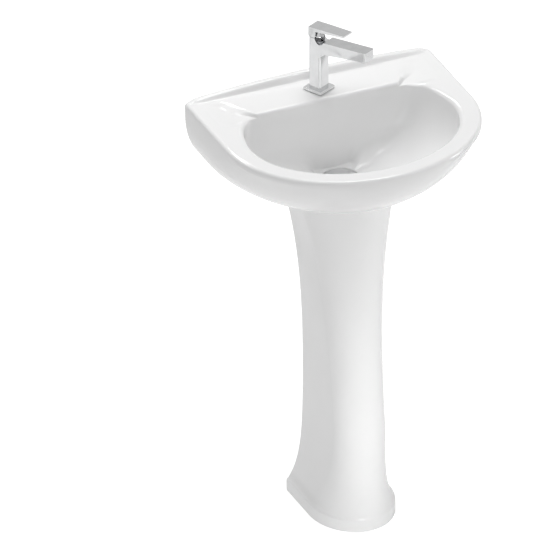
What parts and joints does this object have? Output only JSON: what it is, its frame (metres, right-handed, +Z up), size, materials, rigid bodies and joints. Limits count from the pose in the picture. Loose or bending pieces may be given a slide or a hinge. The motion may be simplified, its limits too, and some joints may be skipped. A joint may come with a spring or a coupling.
{
  "type": "pedestal sink",
  "caption": "Rounded white ceramic basin with a raised back lip and oval bowl on a slim flared pedestal, with a square single-lever tap, a waste plug and a hidden bottle trap.",
  "frame": {"origin": "on the floor, under the middle of the basin's plan", "axes": "+Z up, +Y towards the wall, +X to the right of a user who faces the wall"},
  "size_m": [0.5, 0.412, 0.9661],
  "materials": {
    "glaze": "gloss",
    "chrome": "polished",
    "brass": "satin",
    "steel": "satin",
    "cartridge_plastic": "matt",
    "trap_plastic": "satin",
    "rubber": "matt"
  },
  "bodies": {
    "root": {"basin_deck": "glaze", "basin_bowl": "glaze", "basin_apron": "glaze", "pedestal": "glaze", "tap_column": "chrome", "tap_spout": "chrome", "inlet_block_left": "chrome", "inlet_block_right": "chrome", "tap_base_plate": "chrome", "aerator_housing": "chrome", "waste_body": "chrome", "retaining_ring": "chrome", "tap_shank": "brass", "shank_nut": "brass", "waste_nut": "brass", "clamp_steel_washer": "steel", "cartridge_body": "cartridge_plastic", "aerator_insert": "cartridge_plastic", "tailpiece": "trap_plastic", "trap_inlet_nut": "trap_plastic", "trap_body": "trap_plastic", "trap_cup": "trap_plastic", "outlet_nut": "trap_plastic", "trap_arm": "trap_plastic", "wall_flange": "trap_plastic", "tap_base_gasket": "rubber", "cartridge_seal": "rubber", "aerator_seal": "rubber", "clamp_rubber_washer": "rubber", "upper_waste_gasket": "rubber", "lower_waste_gasket": "rubber", "trap_inlet_washer": "rubber", "trap_cup_seal": "rubber", "outlet_washer": "rubber"},
    "swivel": {"lever_turret": "chrome"},
    "lever": {"tap_lever": "chrome", "lever_pin": "steel"},
    "stem": {"cartridge_stem": "steel"},
    "stopper": {"waste_stopper": "chrome", "stopper_seal": "rubber"}
  },
  "joints": [
    {"name": "lever_swivel", "type": "hinge", "parent": "root", "child": "swivel", "pos_m": [0, 0.149, 0.936], "axis": [0, 0, 1], "range_deg": [-45, 45]},
    {"name": "lever_lift", "type": "hinge", "parent": "swivel", "child": "lever", "pos_m": [-0.00431, 0.15746, 0.9441], "axis": [-0.891, -0.454, 0], "range_deg": [0, 20]},
    {"name": "stem_slide", "type": "slide", "parent": "swivel", "child": "stem", "axis": [0, 0, 1], "range_m": [0, 0.0029]},
    {"name": "stopper_lift", "type": "slide", "parent": "root", "child": "stopper", "axis": [0, 0, 1], "range_m": [0, 0.008]}
  ],
  "couplings": [
    {"joint": "stem_slide", "follows": "lever_lift", "m_per_rad": 0.0082}
  ]
}
